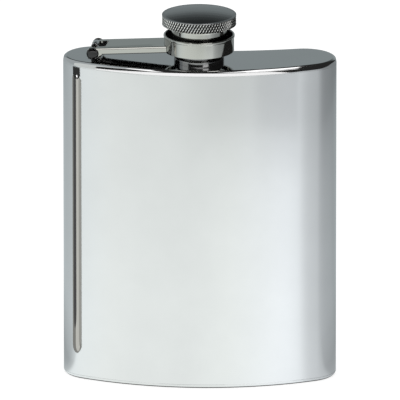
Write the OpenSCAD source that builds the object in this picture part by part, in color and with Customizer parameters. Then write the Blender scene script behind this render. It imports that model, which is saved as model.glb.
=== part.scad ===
// Hip flask with a captive screw cap: a curved sheet-metal body, a threaded neck, and a knurled cap
// that turns in a collar on a hinged arm. +X is the user's right, +Y the concave back, +Z up.
// The origin is the centre of the footprint, on the surface that the flask stands on.

/* [Body] */
// Width of the body
body_w = 95; // [90:1:100]
// Height of the body, without the neck
body_h = 115; // [100:1:125]
// Thickness of the body at its middle
body_t = 27; // [25:0.5:29]
// Radius of the convex front
front_r = 90; // [86:1:96]
// Radius of the rounded sides
end_r = 11.3; // [10.5:0.1:12]
// Thickness of the front and back sheets
sheet_t = 0.8; // [0.6:0.1:1]
// Thickness of the top plate, and the radius of its edge
top_t = 1.2; // [1:0.1:1.5]
// Thickness of the base plate, and the radius of its edge
base_t = 1.5; // [1.2:0.1:2]

/* [Neck] */
// Radius of the bore that the drink is poured through
bore_r = 6; // [5.5:0.1:6.5]
// Outer radius of the neck tube, under its thread
neck_r = 7.4; // [7.2:0.1:7.6]
// Height of the neck above the top plate
neck_h = 8.4; // [8:0.1:8.6]
// Radius of the flange round the foot of the neck
flange_r = 8.7; // [8.2:0.1:9]
// Height of the flange
flange_h = 2; // [1.4:0.1:2.4]
// Pitch of the thread
pitch = 1.5; // [1.2:0.1:1.6]

/* [Collar] */
// Outer radius of the collar
collar_r = 12; // [11.9:0.1:12.2]
// Thickness of the collar's wall and of its inward lip
collar_t = 0.8; // [0.7:0.1:0.9]
// Height of the collar's underside above the top plate
collar_z = 3.9; // [3.8:0.1:4]
// Height of the collar
collar_h = 5.9; // [5.6:0.1:6.2]
// Radius of the bead round the collar's top edge
bead_r = 0.5; // [0.4:0.1:0.6]

/* [Cap] */
// Outer radius of the cap's knurled head
head_r = 12.9; // [12.5:0.1:13.3]
// Height of the knurled band
head_h = 2.7; // [2.4:0.1:3]
// Rise of the domed top above the knurled band
dome_h = 1.9; // [1.5:0.1:2.2]
// Gap between the collar's top and the head
head_gap = 3.6; // [3:0.1:4]
// Outer radius of the threaded sleeve under the head
sleeve_r = 9.7; // [9.6:0.1:9.8]
// Number of teeth round the knurled band
knurl_n = 64; // [40:4:80]

/* [Arm] */
// Distance from the neck's axis to the hinge pin
arm_l = 36.4; // [35:0.1:37]
// Angle that the arm turns towards the front, in plan
arm_turn = 7; // [5:0.5:9]
// Angle that the arm rises towards the collar
arm_rise = 4.2; // [3.5:0.1:4.6]
// Width of the arm
arm_w = 12.6; // [11.6:0.1:13]
// Depth of the arm's folded sides
arm_d = 2.2; // [2:0.1:2.4]
// Thickness of the arm's sheet
arm_t = 0.7; // [0.6:0.1:0.8]

/* [Hinge] */
// Height of the hinge pin above the top plate
pin_z = 2.6; // [2.5:0.1:2.8]
// Radius of the hinge pin
pin_r = 0.6; // [0.5:0.05:0.65]
// Height that the pin rises in its slotted lug as the cap unscrews by a turn
pin_lift = 1.5; // [1.2:0.1:1.6]
// Width of the lug, along the pin
lug_w = 5; // [4:0.1:5.4]
// Thickness of the lug, across the pin
lug_t = 2.4; // [2.2:0.1:2.6]

/* [Hidden] */
$fn = 96;

fit = 0.05;      // clearance of a running fit, on the radius
touch = 0.01;    // overlap that makes two shapes of one piece a single solid
steel = "lightsteelblue";

// The body's outline, seen from above, is four arcs that meet in tangents.
end_x = body_w / 2 - end_r;
end_back = front_r - sqrt(pow(front_r - end_r, 2) - pow(end_x, 2));  // behind the front's crown
body_d = end_back + end_r;
crown_y = -body_d / 2;
front_cy = crown_y + front_r;
end_y = crown_y + end_back;
back_y = crown_y + body_t;
back_in = back_y - end_y;
back_r = (pow(end_x, 2) + pow(back_in, 2) - pow(end_r, 2)) / (2 * (end_r - back_in));
back_cy = back_y + back_r;
front_half = asin(end_x / (front_r - end_r));
back_half = asin(end_x / (back_r + end_r));
end_sweep = 180 - front_half + back_half;

neck_y = crown_y + body_t / 2;   // the neck stands over the middle of the body's thickness
edge_in = 4;                     // how far an edge's strip reaches into its plate
core_in = 2.6;                   // how far the core of the outline lies inside it
core_steps = 8;
reach = 20;                      // a length that takes a cut well past the outline

thread_d = 0.45;                 // depth of the neck's thread
sleeve_in_r = sleeve_r - 0.9;
sleeve_z = collar_z + 0.7;
head_z = collar_z + collar_h + head_gap;
liner_t = 1;
liner_z = neck_h + fit;
ring_t = 0.8;
ring_r = collar_r - collar_t - 0.15;
ring_z = collar_z + collar_h - collar_t - ring_t - 0.1;

ear_r = 2.15;                    // radius of the arm's ears round the pin
ear_gap = arm_w / 2 - arm_t;     // from the arm's middle to the inside of an ear
web_z = 1.8;                     // from the pin to the top of the arm's web
web_end = -1.3;                  // the web's end, beyond the pin
slot_w = 7.2;                    // the slot leaves room for the lug and is open at the arm's end
slot_l = 6;
slot_end = 4.2;                  // the slot's closed end, from the pin
pin_head_r = 1.15;
pin_head_h = 0.5;

// ---- Body ----

function arc_point(cx, cy, r, angle) = [cx + r * cos(angle), cy + r * sin(angle)];

// Points round the body's outline, moved in by inset: the middles of the given steps along each arc.
function outline(inset, steps) = let (share = [for (i = [0:steps - 1]) (i + 0.5) / steps]) concat(
    [for (s = share) arc_point(0, front_cy, front_r - inset, -90 + front_half * (2 * s - 1))],
    [for (s = share) arc_point(end_x, end_y, end_r - inset, front_half - 90 + end_sweep * s)],
    [for (s = share) arc_point(0, back_cy, back_r + inset, -90 + back_half * (1 - 2 * s))],
    [for (s = share) arc_point(-end_x, end_y, end_r - inset, 90 - back_half + end_sweep * s)]
);

// A point at a distance from the centre of a rounded side, on the right for 1 or the left for -1.
function from_end(side, angle, distance) =
    [side * (end_x + distance * cos(angle)), end_y + distance * sin(angle)];

// The body's outline is exact arcs, cut where one arc hands over to the next.
module front_part(inset) {
    to_front = front_half - 90;
    intersection() {
        translate([0, front_cy])
            circle(front_r - inset);
        polygon([
            from_end(-1, 0, 0), from_end(-1, to_front, reach), [0, -3 * reach],
            from_end(1, to_front, reach), from_end(1, 0, 0)
        ]);
    }
}

module side_part(side, inset) {
    to_front = front_half - 90;
    to_back = back_half + 90;
    intersection() {
        translate([side * end_x, end_y])
            circle(end_r - inset);
        polygon([
            from_end(side, 0, 0), from_end(side, to_front, reach),
            from_end(side, to_front / 2, 2 * reach), from_end(side, to_back / 2, 2 * reach),
            from_end(side, to_back, reach)
        ]);
    }
}

module behind() {
    to_back = back_half + 90;
    polygon([
        from_end(-1, 0, 0), from_end(-1, to_back, reach),
        from_end(1, to_back, reach), from_end(1, 0, 0)
    ]);
}

module back_part(inset) {
    difference() {
        behind();
        translate([0, back_cy])
            circle(back_r + inset);
    }
}

// A solid of the body's outline, moved in by inset. Its core ties the four parts together.
module body_solid(inset, h) {
    linear_extrude(h)
        polygon(outline(inset + core_in, core_steps));
    linear_extrude(h) {
        front_part(inset);
        side_part(-1, inset);
        side_part(1, inset);
        back_part(inset);
    }
}

// The section of a plate's edge: a strip that ends in a quarter round about the height given.
module edge_section(t, round_z) {
    translate([-edge_in, 0])
        square([edge_in - t, t]);
    intersection() {
        translate([-t, round_z])
            circle(t, $fn = 48);
        translate([-t, 0])
            square([t, t]);
    }
}

// A flat plate of the body's outline, its edge rounded by its own thickness. The round's centre is
// at the height round_z: 0 rounds the edge's top, and t its bottom.
module plate(t, round_z) {
    linear_extrude(t)
        polygon(outline(core_in, core_steps));
    translate([0, front_cy, 0])
        rotate(-90 - front_half)
            rotate_extrude(angle = 2 * front_half, $fn = 180)
                translate([front_r, 0])
                    edge_section(t, round_z);
    for (side = [-1, 1])
        translate([side * end_x, end_y, 0])
            rotate(side > 0 ? front_half - 90 : 90 - back_half)
                rotate_extrude(angle = end_sweep)
                    translate([end_r, 0])
                        edge_section(t, round_z);
    translate([0, back_cy, 0])
        rotate(-90 - back_half)
            rotate_extrude(angle = 2 * back_half, $fn = 360)
                translate([back_r, 0])
                    mirror([1, 0])
                        edge_section(t, round_z);
}

// The body's sheet, between the base plate and the top plate.
module sheet() {
    h = body_h - base_t - top_t;
    translate([0, 0, base_t])
        difference() {
            body_solid(0, h);
            translate([0, 0, -1])
                body_solid(sheet_t, h + 2);
        }
}

module back_region() {
    linear_extrude(body_h)
        behind();
}

module front_panel() {
    color(steel)
        difference() {
            sheet();
            back_region();
        }
}

module back_panel() {
    color(steel)
        intersection() {
            sheet();
            back_region();
        }
}

module top_plate() {
    color("silver")
        difference() {
            translate([0, 0, body_h - top_t])
                plate(top_t, 0);
            translate([0, neck_y, body_h - 2 * top_t])
                cylinder(r = neck_r, h = 3 * top_t);
        }
}

module base_plate() {
    color("silver")
        plate(base_t, base_t);
}

// ---- Neck ----

module at_neck() {
    translate([0, neck_y, body_h])
        children();
}

// The neck's thread, as rings of its depth and pitch.
module neck() {
    foot = -top_t - 1;
    first = flange_h + 0.6;
    turns = floor((neck_h - first - 0.4) / pitch);
    color("gray")
        at_neck()
            difference() {
                rotate_extrude()
                    polygon(concat(
                        [[0, foot], [neck_r, foot]],
                        [for (i = [0:turns - 1], k = [0:2])
                            [neck_r + (k == 1 ? thread_d : 0), first + (i + k / 2.2) * pitch]],
                        [[neck_r, neck_h - 0.3], [neck_r - 0.3, neck_h], [0, neck_h]]
                    ));
                translate([0, 0, foot - 1])
                    cylinder(r = bore_r, h = neck_h - foot + 2);
            }
}

module neck_flange() {
    rim = 0.4;
    color("gray")
        at_neck()
            difference() {
                union() {
                    cylinder(r = flange_r, h = flange_h - rim);
                    cylinder(r = flange_r - rim, h = flange_h);
                }
                translate([0, 0, -1])
                    cylinder(r = neck_r, h = flange_h + 2);
            }
}

// ---- Hinge: x runs along the arm to the collar, y along the pin, from the pin's middle ----

module at_pin() {
    at_neck()
        rotate(-arm_turn)
            translate([-arm_l, 0, pin_z])
                children();
}

module along_pin(length) {
    rotate([90, 0, 0])
        linear_extrude(length, center = true)
            children();
}

module hinge_lug() {
    foot_l = 4.6;
    foot_h = 0.5;
    slot_r = pin_r + fit;
    top = pin_lift + slot_r + 0.55;
    color("dimgray")
        at_pin()
            difference() {
                union() {
                    along_pin(lug_w) {
                        translate([-lug_t / 2, -pin_z])
                            square([lug_t, pin_z + top - lug_t / 2]);
                        translate([0, top - lug_t / 2])
                            circle(lug_t / 2);
                    }
                    translate([-foot_l / 2, -lug_w / 2, -pin_z])
                        cube([foot_l, lug_w, foot_h]);
                }
                along_pin(lug_w + 2) {
                    circle(slot_r);
                    translate([0, pin_lift])
                        circle(slot_r);
                    translate([-slot_r, 0])
                        square([2 * slot_r, pin_lift]);
                }
            }
}

module hinge_pin() {
    shank = arm_w + 0.1;
    color("silver")
        at_pin() {
            along_pin(shank + touch)
                circle(pin_r);
            for (side = [-1, 1])
                translate([0, side * shank / 2, 0])
                    rotate([-90 * side, 0, 0]) {
                        cylinder(r = pin_head_r, h = pin_head_h / 2);
                        cylinder(r = pin_head_r - 0.25, h = pin_head_h);
                    }
        }
}

// The arm's side, seen along the pin: a round ear at the pin and a strip that rises to the collar.
module arm_side() {
    circle(ear_r);
    rotate(arm_rise) {
        translate([web_end, 0])
            square([2.4 - web_end, web_z]);
        translate([0, web_z - arm_d])
            square([arm_l, arm_d]);
    }
}

module hinge_arm() {
    color("silver")
        difference() {
            at_pin()
                difference() {
                    union() {
                        for (side = [-1, 1])
                            translate([0, side * (arm_w - arm_t) / 2, 0])
                                along_pin(arm_t)
                                    arm_side();
                        rotate([0, -arm_rise, 0])
                            translate([web_end, -arm_w / 2 + touch, web_z - arm_t])
                                cube([arm_l - web_end, arm_w - 2 * touch, arm_t]);
                    }
                    rotate([0, -arm_rise, 0])
                        translate([slot_end - slot_l, -slot_w / 2, 0])
                            cube([slot_l, slot_w, ear_r + 1]);
                    along_pin(arm_w + 2)
                        circle(pin_r + fit);
                }
            at_neck()
                cylinder(r = collar_r, h = 3 * collar_h);
        }
}

module collar() {
    top = collar_z + collar_h;
    color("silver")
        at_neck()
            rotate_extrude() {
                translate([collar_r - collar_t, collar_z])
                    square([collar_t, collar_h - bead_r]);
                translate([sleeve_r + fit, top - collar_t])
                    square([collar_r - sleeve_r - fit - 0.2, collar_t]);
                translate([collar_r - 0.15, top - bead_r])
                    circle(bead_r);
            }
}

// ---- Cap ----

module cap_head() {
    dome_r = (pow(head_r, 2) + pow(dome_h, 2)) / (2 * dome_h);
    tooth_h = 0.28;
    recess = 1;
    color("gray")
        at_neck()
            translate([0, 0, head_z])
                difference() {
                    union() {
                        linear_extrude(head_h)
                            polygon([for (i = [0:2 * knurl_n - 1])
                                let (r = head_r - (i % 2) * tooth_h, a = 180 * i / knurl_n)
                                    [r * cos(a), r * sin(a)]]);
                        intersection() {
                            translate([0, 0, head_h + dome_h - dome_r])
                                sphere(dome_r, $fn = 180);
                            cylinder(r = head_r - tooth_h, h = head_h + dome_h + 1);
                        }
                    }
                    translate([0, 0, -1])
                        cylinder(r = sleeve_r, h = 1 + recess);
                }
}

// The sleeve that turns in the collar: threaded inside, closed over the neck, open at the bottom.
module cap_sleeve() {
    lid_z = liner_z + liner_t;
    lid_t = 0.8;
    top = head_z + 1;
    color("silver")
        at_neck()
            difference() {
                translate([0, 0, sleeve_z])
                    cylinder(r = sleeve_r, h = top - sleeve_z);
                translate([0, 0, sleeve_z - 1])
                    cylinder(r = sleeve_in_r, h = lid_z - sleeve_z + 1);
                translate([0, 0, lid_z + lid_t])
                    cylinder(r = sleeve_in_r, h = top);
            }
}

module retaining_ring() {
    color("silver")
        at_neck()
            translate([0, 0, ring_z])
                difference() {
                    cylinder(r = ring_r, h = ring_t);
                    translate([0, 0, -1])
                        cylinder(r = sleeve_r, h = ring_t + 2);
                }
}

module cap_liner() {
    color("ivory")
        at_neck()
            translate([0, 0, liner_z])
                cylinder(r = sleeve_in_r, h = liner_t);
}

front_panel();
back_panel();
top_plate();
base_plate();
neck();
neck_flange();
hinge_lug();
hinge_pin();
hinge_arm();
collar();
cap_head();
cap_sleeve();
retaining_ring();
cap_liner();
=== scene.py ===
"""The looks of a polished hip flask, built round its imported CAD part.

Metres, in the part's own frame: +X to the side away from the hinge, +Y to the concave back, +Z up.
"""

import math

import bmesh
import bpy
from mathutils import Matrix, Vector


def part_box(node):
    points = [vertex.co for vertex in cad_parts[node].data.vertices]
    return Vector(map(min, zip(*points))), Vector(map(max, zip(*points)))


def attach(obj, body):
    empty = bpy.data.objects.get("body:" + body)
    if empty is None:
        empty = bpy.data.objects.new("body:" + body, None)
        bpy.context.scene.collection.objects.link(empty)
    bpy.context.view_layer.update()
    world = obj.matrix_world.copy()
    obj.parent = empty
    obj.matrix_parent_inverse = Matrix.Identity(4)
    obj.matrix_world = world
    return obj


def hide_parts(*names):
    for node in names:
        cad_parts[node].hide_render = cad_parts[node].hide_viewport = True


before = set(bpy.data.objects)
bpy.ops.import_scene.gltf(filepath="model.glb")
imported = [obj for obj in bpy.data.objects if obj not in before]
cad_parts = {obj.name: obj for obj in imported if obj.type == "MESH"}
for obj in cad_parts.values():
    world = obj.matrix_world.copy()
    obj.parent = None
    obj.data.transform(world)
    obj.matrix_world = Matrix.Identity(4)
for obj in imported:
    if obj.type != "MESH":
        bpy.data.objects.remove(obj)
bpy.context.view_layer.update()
MM = 0.001

# ---- Sizes: the boxes come from the frame, and the rest are the part's own driving sizes ----

FRONT_R = 90 * MM
END_R = 11.3 * MM
MIDDLE_T = 27 * MM
SHEET_T = 0.8 * MM
PLATE_T = 1.2 * MM
NECK_R = 7.4 * MM
BORE_R = 6.0 * MM
COLLAR_T = 0.8 * MM
SLEEVE_T = 0.9 * MM

sheet_lo, sheet_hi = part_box("front_panel")
base_lo, base_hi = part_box("base_plate")
neck_lo, neck_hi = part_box("neck")
flange_lo, flange_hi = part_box("neck_flange")
collar_lo, collar_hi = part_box("collar")
head_lo, head_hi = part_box("cap_head")
sleeve_lo, sleeve_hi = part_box("cap_sleeve")
pin_lo, pin_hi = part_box("hinge_pin")

TOP_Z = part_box("top_plate")[1].z
NECK = (neck_lo + neck_hi) / 2
flange_r = (flange_hi.x - flange_lo.x) / 2
collar_r = (collar_hi.x - collar_lo.x) / 2
sleeve_r = (sleeve_hi.x - sleeve_lo.x) / 2
head_r = (head_hi.x - head_lo.x) / 2

# The body's outline, four tangent arcs: the convex front, two rounded ends and the concave back.
end_x = sheet_hi.x - END_R
end_y = sheet_lo.y + FRONT_R - math.sqrt((FRONT_R - END_R) ** 2 - end_x**2)
back_y = sheet_lo.y + MIDDLE_T
back_in = back_y - end_y
back_r = (end_x**2 + back_in**2 - END_R**2) / (2 * (END_R - back_in))
front_half = math.asin(end_x / (FRONT_R - END_R))
back_half = math.asin(end_x / (back_r + END_R))


# ---- Mesh helpers ----


def skin(name, rings, close_rings=False, close_loop=True):
    """A mesh of quads over rings of points that all have the same count."""
    count = len(rings[0])
    verts = [v for ring in rings for v in ring]
    faces = []
    for i in range(len(rings) - (0 if close_rings else 1)):
        k = (i + 1) % len(rings)
        for j in range(count - (0 if close_loop else 1)):
            m = (j + 1) % count
            faces.append((i * count + j, i * count + m, k * count + m, k * count + j))
    mesh = bpy.data.meshes.new(name)
    mesh.from_pydata([v[:] for v in verts], [], faces)
    obj = bpy.data.objects.new(name, mesh)
    bpy.context.scene.collection.objects.link(obj)
    return obj


def close_holes(obj):
    """Fills each open loop of edges with a face, and makes the faces look outward."""
    bm = bmesh.new()
    bm.from_mesh(obj.data)
    bmesh.ops.holes_fill(bm, edges=[e for e in bm.edges if e.is_boundary])
    bmesh.ops.recalc_face_normals(bm, faces=bm.faces)
    bm.to_mesh(obj.data)
    bm.free()
    return obj


def split_along(obj, point, normal):
    """Cuts the faces of a mesh in two where a plane meets them."""
    bm = bmesh.new()
    bm.from_mesh(obj.data)
    parts = bm.verts[:] + bm.edges[:] + bm.faces[:]
    bmesh.ops.bisect_plane(bm, geom=parts, plane_co=point, plane_no=normal)
    bm.to_mesh(obj.data)
    bm.free()


def tidy(obj, sharp=30):
    """Merges doubled points, makes the faces look outward and shades them smooth up to an angle."""
    bm = bmesh.new()
    bm.from_mesh(obj.data)
    bmesh.ops.remove_doubles(bm, verts=bm.verts, dist=1e-7)
    bmesh.ops.recalc_face_normals(bm, faces=bm.faces)
    bm.to_mesh(obj.data)
    bm.free()
    obj.data.polygons.foreach_set("use_smooth", [True] * len(obj.data.polygons))
    obj.data.set_sharp_from_angle(angle=math.radians(sharp))
    return obj


def turned(name, profile, steps=192, shape=None, closed=False):
    """A solid turned about the neck's axis from (radius, z) points. shape(angle, r, z) may alter r."""
    rings = []
    for r, z in profile:
        ring = []
        for i in range(steps):
            a = 2 * math.pi * i / steps
            q = shape(a, r, z) if shape else r
            ring.append(Vector((NECK.x + q * math.cos(a), NECK.y + q * math.sin(a), z)))
        rings.append(ring)
    return tidy(skin(name, rings, close_rings=closed))


def prism(name, outline, place, low, high):
    """A solid between two copies of a flat outline, placed by place(a, b, depth)."""
    return close_holes(skin(name, [[place(a, b, d) for a, b in outline] for d in (low, high)]))


def carve(obj, tool, operation="DIFFERENCE"):
    """Applies a boolean of obj with a tool, and removes the tool."""
    cut = obj.modifiers.new("cut", "BOOLEAN")
    cut.operation, cut.object, cut.solver = operation, tool, "EXACT"
    bpy.context.view_layer.update()
    depsgraph = bpy.context.evaluated_depsgraph_get()
    made = bpy.data.meshes.new_from_object(obj.evaluated_get(depsgraph))
    obj.modifiers.clear()
    obj.data = made
    bpy.data.objects.remove(tool)


def bevel_edges(obj, width, segments, angle):
    """Eases the edges that turn by more than an angle in degrees."""
    bevel = obj.modifiers.new("eased_edges", "BEVEL")
    bevel.width, bevel.segments = width, segments
    bevel.limit_method, bevel.angle_limit = "ANGLE", math.radians(angle)
    bevel.harden_normals = True


def between(first, last, share):
    return first + (last - first) * share


def arc(cx, cy, radius, start, end, steps, inward=False):
    """Points on an arc with their outward normals, the last point left to the next arc."""
    out = []
    for i in range(steps):
        a = between(start, end, i / steps)
        way = Vector((math.cos(a), math.sin(a)))
        out.append((Vector((cx, cy)) + way * radius, -way if inward else way))
    return out


def circle(radius, count):
    angles = (2 * math.pi * k / count for k in range(count))
    return [(radius * math.cos(a), radius * math.sin(a)) for a in angles]


def rounded(points, radii, steps=5):
    """A polyline with its inner corners rounded, as (a, b) points in a plane."""
    pts = [Vector(p) for p in points]
    out = [pts[0]]
    for radius, before, here, after in zip(radii, pts, pts[1:], pts[2:]):
        if radius <= 0:
            out.append(here)
            continue
        reach = min(radius, (before - here).length * 0.49, (after - here).length * 0.49)
        start = here + (before - here).normalized() * reach
        end = here + (after - here).normalized() * reach
        for k in range(steps + 1):
            t = k / steps
            out.append(start * (1 - t) ** 2 + here * 2 * t * (1 - t) + end * t * t)
    out.append(pts[-1])
    return [(p.x, p.y) for p in out]


def bent_profile(zones, steps=8):
    """(inset, height) points of a profile whose normal tilts from the first angle to the second over
    each zone's length."""
    inset, height, out = 0.0, 0.0, [(0.0, 0.0)]
    for first, last, length in zones:
        for k in range(steps):
            tilt = math.radians(between(first, last, (k + 0.5) / steps))
            inset += math.sin(tilt) * length / steps
            height += math.cos(tilt) * length / steps
            out.append((inset, height))
    return out


def from_axis(point):
    """A point's distance from the neck's axis."""
    return math.hypot(point.x - NECK.x, point.y - NECK.y)


# ---- Materials ----

WHITE = (1, 1, 1)
BEIGE = (1, 1, 0.93)


def principled(name):
    """A new material with its node tree and its shader."""
    material = bpy.data.materials.new(name)
    material.use_nodes = True
    return material, material.node_tree, material.node_tree.nodes["Principled BSDF"]


def mapped_noise(tree, stretch, scale, detail=3.0, rough=0.55):
    """Noise in the object's own metres, stretched along its axes."""
    coords = tree.nodes.new("ShaderNodeTexCoord")
    mapping = tree.nodes.new("ShaderNodeMapping")
    mapping.inputs["Scale"].default_value = stretch
    noise = tree.nodes.new("ShaderNodeTexNoise")
    noise.inputs["Scale"].default_value = scale
    noise.inputs["Detail"].default_value = detail
    noise.inputs["Roughness"].default_value = rough
    tree.links.new(coords.outputs["Object"], mapping.inputs["Vector"])
    tree.links.new(mapping.outputs["Vector"], noise.inputs["Vector"])
    return noise.outputs["Fac"]


def spread(tree, source, low, high, from_low=0.3, from_high=0.7):
    """A source's value spread over low..high."""
    node = tree.nodes.new("ShaderNodeMapRange")
    node.inputs["From Min"].default_value = from_low
    node.inputs["From Max"].default_value = from_high
    node.inputs["To Min"].default_value = low
    node.inputs["To Max"].default_value = high
    tree.links.new(source, node.inputs["Value"])
    return node.outputs["Result"]


def ramp_of(tree, source, stops):
    """A colour for a source from 0 to 1, by (position, colour) stops."""
    node = tree.nodes.new("ShaderNodeValToRGB")
    elements = node.color_ramp.elements
    while len(elements) < len(stops):
        elements.new(0.5)
    for element, (position, color) in zip(elements, stops):
        element.position = position
        element.color = (*color, 1)
    tree.links.new(source, node.inputs["Fac"])
    return node.outputs["Color"]


def relief(tree, height, distance, under=None):
    """A bumpy normal of a height in metres, laid over another relief if there is one."""
    node = tree.nodes.new("ShaderNodeBump")
    node.inputs["Strength"].default_value = 1.0
    node.inputs["Distance"].default_value = distance
    tree.links.new(height, node.inputs["Height"])
    if under:
        tree.links.new(under, node.inputs["Normal"])
    return node.outputs["Normal"]


def steel(name, tone, rough, smudge, wave, scratch, turned_lines=0.0, tint=WHITE):
    """Polished stainless steel: a slight change of tone, smudges and haze in the gloss, waviness of
    the sheet, hairline polishing marks and, on turned parts, fine rings."""
    material, tree, shader = principled(name)
    shader.inputs["Metallic"].default_value = 1.0
    clouds = mapped_noise(tree, (1, 1, 1), 60)
    cloudy, clear = ([tone * share * part for part in tint] for share in (0.965, 1.0))
    color = ramp_of(tree, clouds, [(0.3, cloudy), (0.7, clear)])
    tree.links.new(color, shader.inputs["Base Color"])
    haze = mapped_noise(tree, (1, 1, 0.7), 85, 5.0, 0.6)
    tree.links.new(spread(tree, haze, rough, rough + smudge), shader.inputs["Roughness"])
    normal = relief(tree, mapped_noise(tree, (1, 1, 0.6), 42, 1.0), wave)
    normal = relief(tree, mapped_noise(tree, (9, 9, 0.5), 260, 2.0), scratch, normal)
    if turned_lines:
        rings = mapped_noise(tree, (0.02, 0.02, 1), 5200, 1.0)
        normal = relief(tree, rings, turned_lines, normal)
    tree.links.new(normal, shader.inputs["Normal"])
    # a dark tone stays dark at a grazing view too, the near-black painted shade included
    edge = min(1.0, 2 * tone)
    shader.inputs["Specular Tint"].default_value = (edge, edge, edge, 1)
    return material


def silicone():
    """Smooth cream silicone: a cloudy tone and a fine grain."""
    material, tree, shader = principled("liner_silicone")
    clouds = mapped_noise(tree, (1, 1, 1), 300)
    color = ramp_of(tree, clouds, [(0, (0.72, 0.69, 0.62)), (1, (0.84, 0.82, 0.76))])
    tree.links.new(color, shader.inputs["Base Color"])
    grain = mapped_noise(tree, (1, 1, 1), 2600)
    tree.links.new(spread(tree, grain, 0.42, 0.55), shader.inputs["Roughness"])
    tree.links.new(relief(tree, grain, 8e-6), shader.inputs["Normal"])
    return material


POLISHED_SHEET = steel("polished_sheet", tone=0.74, rough=0.03, smudge=0.03, wave=8e-6, scratch=0.10e-6)
POLISHED_PLATE = steel("polished_plate", tone=0.72, rough=0.035, smudge=0.035, wave=6e-6, scratch=0.12e-6)
# the neck's dark tone is painted shade, where the collar's underside shades it
NECK_SHADED_STEEL = steel(
    "neck_steel", tone=0.30, rough=0.10, smudge=0.06, wave=2e-6, scratch=0.1e-6, turned_lines=0.5e-6
)
HINGE_STEEL = steel("hinge_steel", tone=0.60, rough=0.10, smudge=0.08, wave=2e-6, scratch=0.2e-6)
ARM_STEEL = steel(
    "arm_steel", tone=0.52, rough=0.02, smudge=0.02, wave=3e-6, scratch=0.2e-6, tint=BEIGE
)
COLLAR_STEEL = steel(
    "collar_steel", tone=0.52, rough=0.08, smudge=0.05, wave=3e-6, scratch=0.2e-6,
    turned_lines=0.6e-6, tint=BEIGE,
)
CAP_STEEL = steel("cap_steel", tone=0.42, rough=0.07, smudge=0.06, wave=3e-6, scratch=0.2e-6)
# near-black pin heads: painted shade, for the dark that the heads take from their surroundings
PIN_SHADED_STEEL = steel("pin_painted_shade", tone=0.05, rough=0.05, smudge=0.05, wave=2e-6, scratch=0.2e-6)
# the knurl's crests, lighter than the dome of the same head: a painted sheen
KNURL_SHEEN_STEEL = steel(
    "knurl_painted_sheen", tone=0.80, rough=0.10, smudge=0.06, wave=2e-6, scratch=0.2e-6, tint=(1, 1, 0.96)
)
# near-black grooves between the knurl's teeth: painted shade
GROOVE_SHADE_STEEL = steel(
    "knurl_groove_painted_shade", tone=0.07, rough=0.25, smudge=0.10, wave=2e-6, scratch=0.2e-6
)
# near-black painted shade, for the collar's recessed lip and for the inside and the lower edge of the arm
PAINTED_SHADE_STEEL = steel("recess_painted_shade", tone=0.10, rough=0.16, smudge=0.08, wave=2e-6, scratch=0.2e-6)
LINER = silicone()


def finish_with(obj, material):
    obj.data.materials.clear()
    obj.data.materials.append(material)


def finish_part(obj, material, chosen):
    """Gives the faces whose centre is chosen a material of their own, such as painted shade or a painted
    sheen.
    """
    obj.data.materials.append(material)
    for face in obj.data.polygons:
        if chosen(face.center):
            face.material_index = len(obj.data.materials) - 1


def stand_for(obj, node, body, material):
    """obj rides on a body, stands for a CAD node and takes a material."""
    finish_with(obj, material)
    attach(obj, body)
    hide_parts(node)


# ---- Body: sheets, top plate and base plate ----

FRONT_ARC = arc(
    0, sheet_lo.y + FRONT_R, FRONT_R, -math.pi / 2 - front_half, -math.pi / 2 + front_half, 140
)
RIGHT_ARC = arc(end_x, end_y, END_R, front_half - math.pi / 2, math.pi / 2 + back_half, 90)
BACK_ARC = arc(
    0, back_y + back_r, back_r, -math.pi / 2 + back_half, -math.pi / 2 - back_half, 140, inward=True
)
LEFT_ARC = arc(-end_x, end_y, END_R, math.pi / 2 - back_half, 3 * math.pi / 2 - front_half, 90)
AROUND = FRONT_ARC + RIGHT_ARC + BACK_ARC + LEFT_ARC

SEAM = 0.05 * MM
# the top plate's rolled edge: the first and the last tilt of its normal, and the length between them
RIM_ZONES = [
    (0, 7, 0.15 * MM), (7, 13, 1.10 * MM), (13, 50, 0.45 * MM), (50, 72, 0.85 * MM),
    (72, 90, 0.15 * MM),
]
FLAT_RINGS = (0.15 * MM, 1.0 * MM, 2.5 * MM)  # in from the rim, on the flat top
PLATE_IN = 3.0 * MM  # the top plate's underside starts this far in
BASE_IN = 6 * MM  # the base plate's flat faces end this far in
BASE_STEPS = 14

rim = bent_profile(RIM_ZONES)
rim_in, rim_rise = rim[-1]
rim_foot = TOP_Z - rim_rise
base_top = base_hi.z
base_round = base_top - base_lo.z


def offset_ring(path, inset, z):
    return [Vector((p.x - n.x * inset, p.y - n.y * inset, z)) for p, n in path]


def hole_ring(path, inset, radius, z):
    """A circle about the neck's axis, each point in line with the outline's point."""
    ring = []
    for p in offset_ring(path, inset, z):
        way = Vector((p.x - NECK.x, p.y - NECK.y)).normalized()
        ring.append(Vector((NECK.x + way.x * radius, NECK.y + way.y * radius, z)))
    return ring


def sheet_loop(low, high, rows=24):
    """The closed section of a sheet between two heights, its outer edges eased, as (inset, z). Its
    long side is split in rows."""
    outer = rounded([(SHEET_T, low), (0, low), (0, high), (SHEET_T, high)], [SEAM, SEAM], 4)
    spaced = []
    for a, b in zip(outer, outer[1:]):
        pieces = rows if abs(b[1] - a[1]) > (high - low) / 2 else 1
        for k in range(pieces):
            spaced.append((between(a[0], b[0], k / pieces), between(a[1], b[1], k / pieces)))
    return spaced + [outer[-1]]


def sheet_piece(name, path, low, high):
    """A sheet swept along an open part of the outline, with closed ends."""
    rings = [offset_ring(path, inset, z) for inset, z in sheet_loop(low, high)]
    return tidy(close_holes(skin(name, list(zip(*rings)))))


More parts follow.
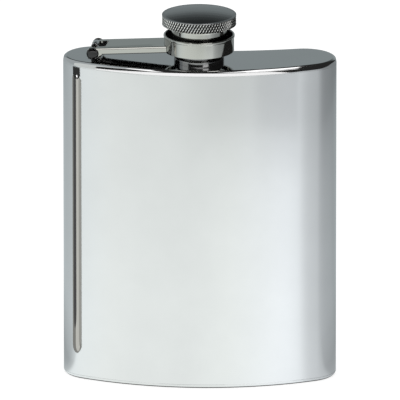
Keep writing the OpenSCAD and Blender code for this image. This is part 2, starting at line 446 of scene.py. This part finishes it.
def top_piece():
    """The top plate: its rolled edge, its flat with the neck's hole, and its underside."""
    rings = [offset_ring(AROUND, SHEET_T, rim_foot)]
    rings += [offset_ring(AROUND, inset, rim_foot + h) for inset, h in rim]
    rings += [offset_ring(AROUND, rim_in + d, TOP_Z) for d in FLAT_RINGS]
    rings += [
        hole_ring(AROUND, rim_in + FLAT_RINGS[-1], NECK_R, z) for z in (TOP_Z, TOP_Z - PLATE_T)
    ]
    rings += [offset_ring(AROUND, PLATE_IN, TOP_Z - PLATE_T)]
    return tidy(skin("top_shell", rings, close_rings=True))


def base_piece():
    """The base plate, rounded from the seam down to the flat that it stands on."""
    section = [(BASE_IN, base_top), (SEAM, base_top), (0, base_top - SEAM)]
    for k in range(1, BASE_STEPS + 1):
        a = math.pi / 2 * k / BASE_STEPS
        section.append((base_round * (1 - math.cos(a)), base_round * (1 - math.sin(a))))
    section.append((BASE_IN, base_lo.z))
    return tidy(close_holes(skin("base_shell", [offset_ring(AROUND, d, z) for d, z in section])))


front_path = LEFT_ARC + FRONT_ARC + RIGHT_ARC + BACK_ARC[:1]
back_path = BACK_ARC + LEFT_ARC[:1]
front_sheet = sheet_piece("front_sheet", front_path, base_top, rim_foot)
back_sheet = sheet_piece("back_sheet", back_path, base_top, rim_foot)
stand_for(front_sheet, "front_panel", "flask", POLISHED_SHEET)
stand_for(back_sheet, "back_panel", "flask", POLISHED_SHEET)
stand_for(top_piece(), "top_plate", "flask", POLISHED_PLATE)
stand_for(base_piece(), "base_plate", "flask", POLISHED_PLATE)

# ---- Neck with a helical thread, and its flange ----

THREAD_DEPTH = 0.45 * MM
PITCH = 1.5 * MM
CREST_POWER = 1.4  # above 1, the thread's crest is narrower than its root
MOUTH_H = 0.4 * MM
thread_foot = flange_hi.z + 0.5 * MM
thread_top = neck_hi.z - 0.9 * MM


def thread(angle, r, z):
    """The radius of the neck's wall at an angle and height: a round-crested thread that fades out."""
    if r < NECK_R - 0.05 * MM or z < thread_foot or z > thread_top:
        return r
    turn = (z - thread_foot) / PITCH - angle / (2 * math.pi)
    crest = 0.5 + 0.5 * math.cos(2 * math.pi * turn)
    ease = min(1, (z - thread_foot) / PITCH, (thread_top - z) / PITCH)
    return r + THREAD_DEPTH * crest**CREST_POWER * max(0.0, ease)


def neck_piece(rows=70):
    """The neck's tube: a threaded wall in rows, a rounded mouth and a plain bore."""
    wall_top = neck_hi.z - MOUTH_H
    wall = [(NECK_R, between(neck_lo.z, wall_top, k / rows)) for k in range(rows)]
    mouth = rounded(
        [(NECK_R, wall_top), (NECK_R, neck_hi.z), (BORE_R, neck_hi.z), (BORE_R, neck_hi.z - MM)],
        [0.35 * MM] * 2,
    )
    return turned("neck_tube", wall + mouth + [(BORE_R, neck_lo.z)], 180, thread, closed=True)


def flange_piece(edge=0.4 * MM):
    """The low ring round the neck's foot, its upper edge cut back and rounded."""
    profile = rounded(
        [(NECK_R, flange_lo.z), (flange_r, flange_lo.z), (flange_r, flange_hi.z - edge),
         (flange_r - edge, flange_hi.z), (NECK_R, flange_hi.z)],
        [0.05 * MM, 0.25 * MM, 0.2 * MM],
    )
    return turned("neck_foot_ring", profile, closed=True)


# the neck and its foot ring take the dark tone of painted shade under the collar
stand_for(neck_piece(), "neck", "flask", NECK_SHADED_STEEL)
stand_for(flange_piece(), "neck_flange", "flask", NECK_SHADED_STEEL)

# ---- Collar: a plain band with a beaded top and an inward lip ----

LIP_DROP = 0.5 * MM  # the lip's face is this far under the bead's top
lip_in = sleeve_r + 0.05 * MM
collar_top = collar_hi.z
collar_in = collar_r - COLLAR_T
band_out = collar_r - 0.2 * MM


def collar_piece():
    profile = rounded(
        [
            (collar_in, collar_top - COLLAR_T), (collar_in, collar_lo.z), (band_out, collar_lo.z),
            (band_out, collar_top - 1.1 * MM), (collar_r, collar_top - 0.9 * MM),
            (collar_r, collar_top - 0.2 * MM), (collar_r - 0.45 * MM, collar_top),
            (collar_r - 0.9 * MM, collar_top - LIP_DROP), (lip_in, collar_top - LIP_DROP),
            (lip_in, collar_top - COLLAR_T), (collar_in, collar_top - COLLAR_T),
        ],
        [r * MM for r in (0.12, 0.12, 0.2, 0.2, 0.4, 0.25, 0.1, 0.1, 0.1)],
    )
    return turned("collar_ring", profile, closed=True)


# the collar's lip, which gets painted shade
def on_lip(centre):
    return from_axis(centre) < collar_r - 0.6 * MM and centre.z > collar_top - 0.7 * MM


collar_ring = collar_piece()
stand_for(collar_ring, "collar", "arm", COLLAR_STEEL)
# painted shade on the collar's recessed lip
finish_part(collar_ring, PAINTED_SHADE_STEEL, on_lip)

# ---- Cap: the domed, knurled head, and the sleeve with its flared waist ----

HEAD_BAND = 3.2 * MM
TEETH = 76
TOOTH = 0.5 * MM
TOOTH_LEAN = 0.6
SECOND_CUT = 0.5  # the second set of grooves is this much as deep as the first
TOOTH_FADE = 0.15 * MM
SHOULDER_IN = 0.9 * MM
band_lo, band_hi = head_lo.z, head_lo.z + HEAD_BAND
dome_h = head_hi.z - band_hi
dome_r = (head_r**2 + dome_h**2) / (2 * dome_h)


def knurl(angle, r, z):
    """The radius of the head's wall: crossed helical grooves that leave rows of pyramids."""
    if r < head_r - 0.5 * TOOTH or z < band_lo or z > band_hi:
        return r
    turns = TEETH * angle / (2 * math.pi)
    lean = TOOTH_LEAN * TEETH * (z - band_lo) / (2 * math.pi * head_r)
    first = abs(((turns - lean) % 1) - 0.5) * 2
    second = abs(((turns + lean) % 1) - 0.5) * 2
    ease = min(1, (z - band_lo) / TOOTH_FADE, (band_hi - z) / TOOTH_FADE)
    return r - TOOTH * min(1.0, max(first, SECOND_CUT * second)) * max(0.0, ease)


def head_piece(band_rows=26, dome_rows=40):
    """The cap's head: a hollow underside, the knurled band, a rounded shoulder and the dome."""
    under = rounded(
        [(0, band_lo + 0.9 * MM), (sleeve_r - 0.2 * MM, band_lo + 0.9 * MM),
         (sleeve_r - 0.2 * MM, band_lo + 0.35 * MM), (head_r - 0.9 * MM, band_lo + 0.02 * MM),
         (head_r, band_lo)],
        [0, 0.1 * MM, 0.3 * MM],
        3,
    )
    band = [(head_r, band_lo + HEAD_BAND * k / band_rows) for k in range(band_rows + 1)]
    shoulder = math.asin((head_r - SHOULDER_IN) / dome_r)
    tilts = [shoulder * (1 - k / dome_rows) for k in range(dome_rows + 1)]
    dome = [(dome_r * math.sin(a), head_hi.z - dome_r + dome_r * math.cos(a)) for a in tilts]
    edge = rounded(
        [(head_r, band_hi), (head_r - 0.02 * MM, band_hi + 0.2 * MM), dome[0]], [SHOULDER_IN], 6
    )
    return turned("cap_top", under[:-1] + band + edge[1:-1] + dome, TEETH * 12, knurl)


# on_knurl picks the crests for the painted sheen, in_groove the grooves for painted shade
def on_knurl(centre):
    return from_axis(centre) > head_r - 1.2 * TOOTH and band_lo < centre.z < band_hi - 0.1 * MM


def in_groove(centre):
    depth = head_r - from_axis(centre)
    return 0.42 * TOOTH < depth < 1.2 * TOOTH and band_lo < centre.z < band_hi


cap_top = head_piece()
stand_for(cap_top, "cap_head", "cap", CAP_STEEL)
# a painted sheen on the knurl's crests and painted shade in its grooves
finish_part(cap_top, KNURL_SHEEN_STEEL, on_knurl)
finish_part(cap_top, GROOVE_SHADE_STEEL, in_groove)

WAIST_FLARE = 0.9 * MM
LID_T = 0.8 * MM


def sleeve_piece():
    """The threaded sleeve with its lid inside, flared where it meets the head."""
    top = head_lo.z + 0.6 * MM
    inner = sleeve_r - SLEEVE_T
    wide = sleeve_r + WAIST_FLARE
    lid_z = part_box("cap_liner")[1].z
    wall = rounded(
        [(inner, sleeve_lo.z), (sleeve_r, sleeve_lo.z), (sleeve_r, top - 1.5 * MM),
         (wide, top - 0.4 * MM), (wide, top), (inner, top)],
        [0.15 * MM, 1.0 * MM, 0.2 * MM, 0.1 * MM],
        8,
    )
    profile = [(inner, lid_z)] + wall + [(inner, lid_z + LID_T), (0, lid_z + LID_T)]
    return tidy(close_holes(turned("cap_waist", profile)))


stand_for(sleeve_piece(), "cap_sleeve", "cap", COLLAR_STEEL)

# ---- CAD nodes that stay: eased edges and their own finish ----

for node, material, slot in (
    ("hinge_lug", HINGE_STEEL, "hinge_steel"),
    ("retaining_ring", HINGE_STEEL, "hinge_steel"),
    ("cap_liner", LINER, "liner"),
):
    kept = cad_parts[node]
    kept.modifiers.new("weld", "WELD").merge_threshold = 1e-6
    bevel_edges(kept, 0.12 * MM, 3, 40)
    finish_with(kept, material)

# ---- Arm: a folded channel with round bends, ears at the pin and a slot for the lug ----

ARM_RISE = math.radians(4.2)
ARM_W, ARM_D, ARM_T = 12.6 * MM, 2.2 * MM, 0.7 * MM
EAR_R = 2.15 * MM
WEB_Z = 1.8 * MM
SLOT_W, SLOT_END = 7.2 * MM, 4.2 * MM
HOLE_R = 0.65 * MM
DARK_LINE, EARS_END = 0.3 * MM, 3.2 * MM  # along the sides' lower edge, past the ears: a line of painted shade
PAST = 4 * MM  # how far a cutting tool reaches past the arm
COLLAR_SHARE = 0.992  # the arm ends just inside the collar's outer face
FACE_SLACK = 0.05 * MM  # a face counts as inside the arm up to this far off its inner surface

PIN = (pin_lo + pin_hi) / 2
along = Vector((NECK.x - PIN.x, NECK.y - PIN.y, 0)).normalized()
across = Vector((-along.y, along.x, 0))
lengthways = along * math.cos(ARM_RISE) + Vector((0, 0, math.sin(ARM_RISE)))
upwards = lengthways.cross(across).normalized()
arm_l = math.hypot(NECK.x - PIN.x, NECK.y - PIN.y)
arm_half = ARM_W / 2
ear_low = WEB_Z - ARM_D


def arm_point(u, y, v):
    """A point from the pin: u along the arm, y across it to the back, v up from it."""
    return PIN + lengthways * u + across * y + upwards * v


def arm_side(ear_steps=40):
    """The arm's outline seen from the side: a straight strip that ends in a round ear."""
    first = math.radians(-30)
    last = math.atan2(WEB_Z, -math.sqrt(EAR_R**2 - WEB_Z**2)) - 2 * math.pi
    turns = [between(first, last, k / ear_steps) for k in range(ear_steps + 1)]
    neck_in = [(4.2 * MM, 0), (3.1 * MM, 0.12 * MM), (2.4 * MM, 0.4 * MM)]
    side = [(arm_l, ear_low)] + [(u, ear_low - drop) for u, drop in neck_in]
    side += [(EAR_R * math.cos(a), EAR_R * math.sin(a)) for a in turns]
    return side + [(arm_l, WEB_Z)]


def arm_section(half, top, bend, steps):
    """The arm's outline seen from its end, open at the bottom, with its two bends rounded."""
    foot = top - 2 * PAST
    return rounded([(-half, foot), (-half, top), (half, top), (half, foot)], [bend] * 2, steps)


def arm_piece():
    """The folded strip, cut from its side's outline by the tools of its section, slot and ends."""
    def sideways(a, b, d):
        return arm_point(a, d, b)

    def endways(a, b, d):
        return arm_point(d, a, b)

    def upright(a, b, d):
        return Vector((NECK.x + a, NECK.y + b, d))

    arm = prism("arm_channel", arm_side(), sideways, -arm_half - MM, arm_half + MM)
    section = arm_section(arm_half, WEB_Z, 0.75 * MM, 8)
    carve(arm, prism("outside", section, endways, -5 * MM, arm_l + MM), "INTERSECT")
    hollow = arm_section(arm_half - ARM_T, WEB_Z - ARM_T, 0.25 * MM, 4)
    carve(arm, prism("inside", hollow, endways, -6 * MM, arm_l + MM))
    half = SLOT_W / 2
    slot = rounded(
        [(-6 * MM, -half), (SLOT_END, -half), (SLOT_END, half), (-6 * MM, half)], [0.6 * MM] * 2
    )
    carve(arm, prism("slot", slot, arm_point, -PAST, PAST))
    carve(arm, prism("hole", circle(HOLE_R, 32), sideways, -9 * MM, 9 * MM))
    ring = circle(collar_r * COLLAR_SHARE, 96)
    carve(arm, prism("collar_cut", ring, upright, TOP_Z, TOP_Z + 20 * MM))
    # these cuts bound the painted shade's line along the sides' lower edge
    split_along(arm, PIN + upwards * (ear_low + DARK_LINE), upwards)
    split_along(arm, PIN + along * EARS_END, along)
    tidy(arm, 35)
    bevel_edges(arm, 0.1 * MM, 2, 50)
    return arm


def shaded_on_arm(centre):
    """Whether a face gets painted shade: inside the arm, or in the dark line along its sides' lower edge.
    """
    way = centre - PIN
    inside = (
        abs(way.dot(across)) < arm_half - ARM_T + FACE_SLACK
        and way.dot(upwards) < WEB_Z - ARM_T + FACE_SLACK
    )
    return inside or way.dot(upwards) < ear_low + DARK_LINE and way.dot(along) > EARS_END


hinge_arm = arm_piece()
stand_for(hinge_arm, "hinge_arm", "arm", ARM_STEEL)
# painted shade inside the arm and along its sides' lower edge
finish_part(hinge_arm, PAINTED_SHADE_STEEL, shaded_on_arm)

# ---- Pin, with a domed head on each side ----

PIN_R, PIN_HEAD_R, PIN_HEAD_H = 0.6 * MM, 2.12 * MM, 0.8 * MM
HEAD_EDGE = 0.12 * MM


def pin_piece(head_steps=10, count=48):
    """The shank between two domed heads, turned about the line across the arm."""
    shank = arm_half + 0.05 * MM
    tilts = [math.pi / 2 * k / head_steps for k in range(head_steps + 1)]
    dome_foot = shank + HEAD_EDGE
    head = [
        (PIN_HEAD_R * math.cos(a), dome_foot + (PIN_HEAD_H - HEAD_EDGE) * math.sin(a)) for a in tilts
    ]
    far_end = [(PIN_R, shank - 0.3 * MM), (PIN_R, shank), (PIN_HEAD_R, shank)] + head
    profile = [(r, -y) for r, y in reversed(far_end)] + far_end
    up = Vector((0, 0, 1))
    rings = [[PIN + across * y + along * a + up * b for a, b in circle(r, count)] for r, y in profile]
    return tidy(skin("riveted_pin", rings), 40)


# the pin's heads get the near-black tone of painted shade
stand_for(pin_piece(), "hinge_pin", "pin", PIN_SHADED_STEEL)

# ---- Studio: a pale floor, and cards and soft boxes that show only in the polish ----

COOL = (0.86, 0.975, 1.0)
COOL_WALL = (0.90, 0.975, 1)
GREENISH = (0.955, 1, 0.985)
TOP_MIDDLE = Vector((0, 0, TOP_Z))


def only_in_reflections(obj):
    obj.visible_camera = False
    obj.visible_diffuse = False
    obj.visible_shadow = False
    obj.visible_transmission = False


def emission_tree(name):
    """A new material of one emission shader, its node tree and that shader."""
    material = bpy.data.materials.new(name)
    material.use_nodes = True
    tree = material.node_tree
    tree.nodes.clear()
    out = tree.nodes.new("ShaderNodeOutputMaterial")
    emission = tree.nodes.new("ShaderNodeEmission")
    tree.links.new(emission.outputs["Emission"], out.inputs["Surface"])
    return material, tree, emission


def plain_emission(name, strength, color=WHITE):
    material, _, emission = emission_tree(name)
    emission.inputs["Color"].default_value = (*color, 1)
    emission.inputs["Strength"].default_value = strength
    return material


def card(name, rows, strength, color=WHITE):
    """A glowing card over rows of points, seen only in the polish."""
    obj = skin(name, rows, close_loop=False)
    obj.data.materials.append(plain_emission(name, strength, color))
    only_in_reflections(obj)


def plane(name, half, z):
    rows = [[Vector((x, y, z)) for x in (-half, half)] for y in (-half, half)]
    return skin(name, rows, close_loop=False)


def sky_point(azimuth, elevation, distance):
    """A point round the flask's top: azimuth 0 is in front and 90 degrees is at +X."""
    az, el = math.radians(azimuth), math.radians(elevation)
    way = Vector((math.sin(az) * math.cos(el), -math.cos(az) * math.cos(el), math.sin(el)))
    return TOP_MIDDLE + way * distance


def sky_card(name, azimuths, elevations, distance, strength, color=WHITE, columns=32, rows=16):
    """A curved card that fills a range of azimuths and of elevations in degrees."""
    points = [
        [
            sky_point(between(*azimuths, j / columns), between(*elevations, i / rows), distance)
            for j in range(columns + 1)
        ]
        for i in range(rows + 1)
    ]
    card(name, points, strength, color)


# ---- Floor: a matt one for the camera, and a glowing one with a painted pool of light that shows in the polish ----


def floor_finish():
    material, _, shader = principled("floor")
    shader.inputs["Base Color"].default_value = (0.4, 0.4, 0.4, 1)
    shader.inputs["Roughness"].default_value = 1.0
    shader.inputs["Specular IOR Level"].default_value = 0.0
    shader.inputs["Emission Color"].default_value = (1, 1, 1, 1)
    shader.inputs["Emission Strength"].default_value = 0.78
    return material


floor = plane("floor", 6, 0)
floor.data.materials.append(floor_finish())
floor.visible_glossy = False


def math_node(tree, operation, a, b=None):
    node = tree.nodes.new("ShaderNodeMath")
    node.operation = operation
    for socket, value in zip(node.inputs, (a, b)):
        if isinstance(value, (int, float)):
            socket.default_value = value
        elif value is not None:
            tree.links.new(value, socket)
    return node.outputs[0]


def product(tree, first, *others):
    for other in others:
        first = math_node(tree, "MULTIPLY", first, other)
    return first


def curve_of(tree, source, points):
    """A float curve through points, for a source from 0 to 1."""
    node = tree.nodes.new("ShaderNodeFloatCurve")
    curve = node.mapping.curves[0]
    while len(curve.points) < len(points):
        curve.points.new(0.5, 0.5)
    for point, (x, y) in zip(curve.points, points):
        point.location = (x, y)
        point.handle_type = "AUTO_CLAMPED"
    node.mapping.update()
    tree.links.new(source, node.inputs["Value"])
    return node.outputs[0]


# Tables over azimuth in degrees, from straight behind by the left, the front and the right, and
# over distance in metres, both from the point that the front's arc mirrors the floor about.
MIRROR_Y = sheet_lo.y + FRONT_R / 2
BRIGHTEST = 1.2
LIFT = 1.08  # the whole floor's brightness
FAR = 0.6
AROUND_LEVEL = [
    (-180, 0.44), (-150, 0.56), (-110, 0.60), (-75, 0.70), (-62, 0.96), (-55, 1.03), (-48, 1.04),
    (-35, 1.02), (-10, 1.0), (9, 1.05), (28, 1.135), (35, 1.16), (41, 1.12), (45, 0.95),
    (49, 0.78), (69, 0.56), (95, 0.50), (125, 0.45), (150, 0.45), (180, 0.44),
]
NEAR_LEVEL = [(0, 0.98), (0.12, 1.0), (0.2, 0.975), (0.265, 0.945), (FAR, 0.925)]
FADE = [
    (0, 0), (0.22, 0), (0.295, 0.04), (0.325, 0.11), (0.355, 0.2), (0.388, 0.33), (0.43, 0.36),
    (FAR, 0.36),
]
FADE_SHARE = [
    (-180, 0.9), (-60, 0.1), (-22, 0.16), (-3, 0.43), (9, 0.65), (21, 0.72), (34, 1.0),
    (42, 0.9), (48, 0.5), (69, 0.85), (95, 1.0), (180, 1.0),
]
# the foot fade paints shade on the floor near the flask's foot, to the left, the right and behind
FOOT_FADE = [(0, 1), (0.06, 1), (0.075, 0.75), (0.10, 0.35), (0.15, 0), (FAR, 0)]
FOOT_SHARE = [(-180, 0.36), (-64, 0.36), (-56, 0), (55, 0), (63, 0.22), (180, 0.22)]
TINTS = [
    (-180, (0.87, 0.97, 1)), (-70, COOL_WALL), (-40, GREENISH), (12, GREENISH),
    (36, (0.93, 0.975, 1)), (62, (0.91, 0.965, 1)), (180, (0.87, 0.97, 1)),
]


def turn_share(degrees):
    return 0.5 + degrees / 360


def floor_glow():
    """A bright pool in front of the flask that falls off to the sides, the back and far away."""
    material, tree, emission = emission_tree("floor_glow")
    coords = tree.nodes.new("ShaderNodeTexCoord")
    split = tree.nodes.new("ShaderNodeSeparateXYZ")
    tree.links.new(coords.outputs["Object"], split.inputs["Vector"])
    x, y = split.outputs["X"], split.outputs["Y"]
    ahead = math_node(tree, "SUBTRACT", MIRROR_Y, y)
    azimuth = math_node(tree, "ARCTAN2", x, ahead)
    share = math_node(tree, "ADD", math_node(tree, "DIVIDE", azimuth, 2 * math.pi), 0.5)
    squares = (math_node(tree, "POWER", side, 2.0) for side in (x, ahead))
    away = math_node(tree, "SQRT", math_node(tree, "ADD", *squares))

    def by_azimuth(points, top=1.0):
        return curve_of(tree, share, [(turn_share(a), v / top) for a, v in points])

    def by_distance(points):
        near = math_node(tree, "DIVIDE", away, FAR)
        return curve_of(tree, near, [(d / FAR, v) for d, v in points])

    def kept(fade, fade_share):
        """What a fade leaves, where it counts for a share."""
        lost = product(tree, by_distance(fade), by_azimuth(fade_share))
        return math_node(tree, "SUBTRACT", 1.0, lost)

    level = product(
        tree, by_azimuth(AROUND_LEVEL, BRIGHTEST), by_distance(NEAR_LEVEL),
        kept(FADE, FADE_SHARE), kept(FOOT_FADE, FOOT_SHARE), BRIGHTEST * LIFT,
    )
    color = ramp_of(tree, share, [(turn_share(a), tone) for a, tone in TINTS])
    tree.links.new(color, emission.inputs["Color"])
    tree.links.new(level, emission.inputs["Strength"])
    return material


glow = plane("floor_glow", 4, -0.2 * MM)
glow.data.materials.append(floor_glow())
only_in_reflections(glow)

# a dark card in the flask's footprint, seen only in the polish: painted shadow on the floor under its
# rounded edge
footprint = skin(
    "footprint_shade", [offset_ring(AROUND, inset, 0.02 * MM) for inset in (0.35 * MM, 8 * MM)]
)
footprint.data.materials.append(plain_emission("footprint_shade", 0.03))
only_in_reflections(footprint)

# ---- Walls and lights: the numbers are degrees, metres from the flask's top, and brightness ----

# the wall behind darkens upward in even bands, the lowest of them down to the floor
BACKDROP = (0.36, 0.31, 0.22, 0.14, 0.085, 0.05, 0.035)
BANDS_FOOT, BAND = 11, 4.5
for step, strength in enumerate(BACKDROP):
    foot = BANDS_FOOT + BAND * step
    sky_card(
        f"backdrop_{step}", (150, 215), (foot if step else -2, foot + BAND), 1.6, strength, COOL
    )

# the bright far wall in front: low over the floor, its top falling away to both sides
HORIZON_TOP = [(-50, 0.5), (-38, 4), (-25, 8), (-10, 11), (15, 12), (28, 9), (35, 4), (39, -1)]
HORIZON_FOOT, HORIZON_ROWS = -2, 6
card(
    "horizon",
    [
        [sky_point(az, between(HORIZON_FOOT, top, k / HORIZON_ROWS), 1.3) for az, top in HORIZON_TOP]
        for k in range(HORIZON_ROWS + 1)
    ],
    1.25,
)
sky_card("window_right", (20, 45), (14, 30), 1.2, 1.6)
sky_card("window_left", (-80, -49), (-2, 72), 1.25, 0.78, GREENISH)
sky_card("wall_left", (-150, -80), (-2, 72), 1.25, 0.48, COOL_WALL)

# a soft box over the right front, its right edge slanting, and a strip light for the arm's bend:
# each row is at one y and runs between two x, a metre above the flask
SOFT_BOX = [(-0.9, 0.13, 0.62), (-0.32, 0.13, 0.60), (0.02, 0.14, 0.42), (0.36, 0.14, 0.29)]
STRIP = [(-1.60, -0.76, -0.54), (-0.80, -0.52, -0.36), (-0.10, -0.36, -0.24), (0.20, -0.31, -0.20)]
for name, rows, strength in (("soft_box", SOFT_BOX, 1.7), ("strip_light", STRIP, 1.5)):
    card(name, [[Vector((x, y, TOP_Z + 1.0)) for x in ends] for y, *ends in rows], strength)

# ---- A narrow upright neighbour at the left, seen only as a dark and a pale line in the polish: glowing cards with its lit faces, its shade and a glint painted on ----


def upright_card(name, azimuths, heights, reach, strength, corners, color):
    """An upright strip round the left end's axis, its low and high ends rounded over two heights.
    The lengths are in mm."""
    low, high = heights
    columns = []
    for i in range(25):
        az = math.radians(between(*azimuths, i / 24))
        bow = 1 - math.sqrt(max(0.0, 1 - (i / 12 - 1) ** 2))
        foot, head = low + corners[0] * bow, high - corners[1] * bow
        rim_x, rim_y = -end_x + math.sin(az) * reach * MM, end_y - math.cos(az) * reach * MM
        columns.append([Vector((rim_x, rim_y, between(foot, head, k / 12) * MM)) for k in range(13)])
    card(f"neighbour_{name}", columns, strength, color)


for strip in (
    ("edge", (-77.5, -47.7), (0, 103), 39.9, 0.27, (2.5, 3), BEIGE),
    ("face", (-65, -49.5), (0.8, 102), 39.7, 0.66, (2.5, 3), BEIGE),
    ("shade", (-73, -62), (9, 102), 39.5, 0.09, (6, 3), WHITE),
    ("side", (-52.8, -48.2), (3, 101), 39.5, 0.42, (3, 2), BEIGE),
    ("cap", (-74, -48.5), (100.5, 110.7), 39.3, 0.04, (2.5, 2.5), WHITE),
    ("glint", (-61, -56), (101.6, 103.1), 39.1, 1.6, (0.5, 0.5), WHITE),
):
    upright_card(*strip)

# ---- World: white for the camera and for soft light, nearly black in the polish ----


def studio_world():
    world = bpy.data.worlds.new("studio")
    world.use_nodes = True
    tree = world.node_tree
    tree.nodes.clear()

    def background(strength):
        node = tree.nodes.new("ShaderNodeBackground")
        node.inputs["Strength"].default_value = strength
        return node.outputs["Background"]

    def either(ray, no, yes):
        node = tree.nodes.new("ShaderNodeMixShader")
        for socket, value in zip(node.inputs, (path.outputs[ray], no, yes)):
            tree.links.new(value, socket)
        return node.outputs["Shader"]

    path = tree.nodes.new("ShaderNodeLightPath")
    unseen = either("Is Glossy Ray", background(1.0), background(0.03))
    out = tree.nodes.new("ShaderNodeOutputWorld")
    tree.links.new(either("Is Camera Ray", unseen, background(1.0)), out.inputs["Surface"])
    return world


bpy.context.scene.world = studio_world()

# ---- Camera ----

CAMERA_DISTANCE = 6.0
CAMERA_ELEVATION = math.radians(16.6)
CAMERA_TURN = math.radians(2.2)
VIEW_WIDTH = 139.1 * MM  # across the picture, at the flask
SENSOR_WIDTH = 36  # millimetres, as the lens
AIM_RIGHT = 0.31 * MM
AIM_UP = 6.78 * MM

toward = Vector((
    math.cos(CAMERA_ELEVATION) * math.sin(CAMERA_TURN),
    -math.cos(CAMERA_ELEVATION) * math.cos(CAMERA_TURN),
    math.sin(CAMERA_ELEVATION),
))
right = Vector((math.cos(CAMERA_TURN), math.sin(CAMERA_TURN), 0))
up = toward.cross(right)
aim = Vector((NECK.x, NECK.y, TOP_Z / 2)) + right * AIM_RIGHT + up * AIM_UP
camera_data = bpy.data.cameras.new("camera")
camera_data.sensor_width = SENSOR_WIDTH
camera_data.lens = SENSOR_WIDTH * CAMERA_DISTANCE / VIEW_WIDTH
camera_data.clip_start, camera_data.clip_end = 0.1, 50
camera = bpy.data.objects.new("camera", camera_data)
camera.location = aim + toward * CAMERA_DISTANCE
camera.rotation_mode = "QUATERNION"
camera.rotation_quaternion = toward.to_track_quat("Z", "Y")
bpy.context.scene.collection.objects.link(camera)
bpy.context.scene.camera = camera
bpy.context.scene.view_settings.view_transform = "Standard"
